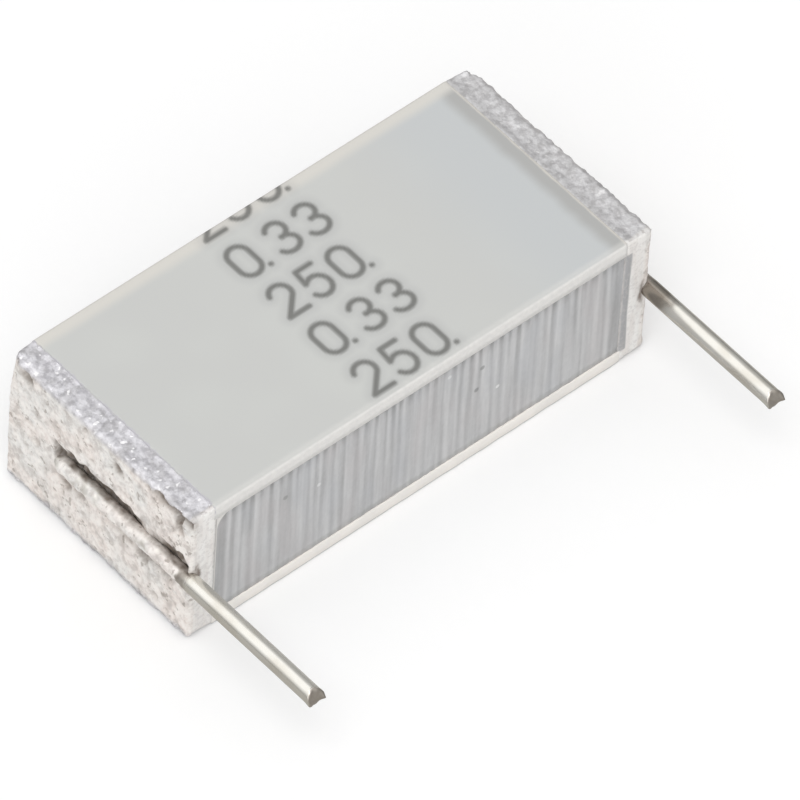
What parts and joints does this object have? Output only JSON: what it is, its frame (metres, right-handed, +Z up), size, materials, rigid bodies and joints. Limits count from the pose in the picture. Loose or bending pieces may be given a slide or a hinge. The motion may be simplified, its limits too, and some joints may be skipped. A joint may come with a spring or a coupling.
{
  "type": "stacked film capacitor",
  "caption": "Uncased stacked film capacitor: a sawn block of metallised film between thick cover films, with sprayed metal end contacts and a tinned wire welded across each end.",
  "frame": {"origin": "centre of the underside of the bottom cover film, which the part rests on", "axes": "+X runs along the block from the left end contact to the right one, the lead wires leave towards -Y, and +Z points up out of the top cover film"},
  "size_m": [0.0154, 0.0116, 0.0046],
  "materials": {
    "sawn_film": "sawn metallised polyester, matt grey with fine upright saw marks",
    "cover_film": "milky translucent polyester film, smooth with pale cut edges",
    "sprayed_metal": "flame-sprayed metal, coarse grained and pitted",
    "tinned_wire": "tinned wire, drawn and slightly dull"
  },
  "bodies": {
    "root": {"film_stack": "sawn_film", "top_cover": "cover_film", "bottom_cover": "cover_film", "left_contact": "sprayed_metal", "right_contact": "sprayed_metal", "left_lead": "tinned_wire", "right_lead": "tinned_wire"}
  },
  "joints": []
}
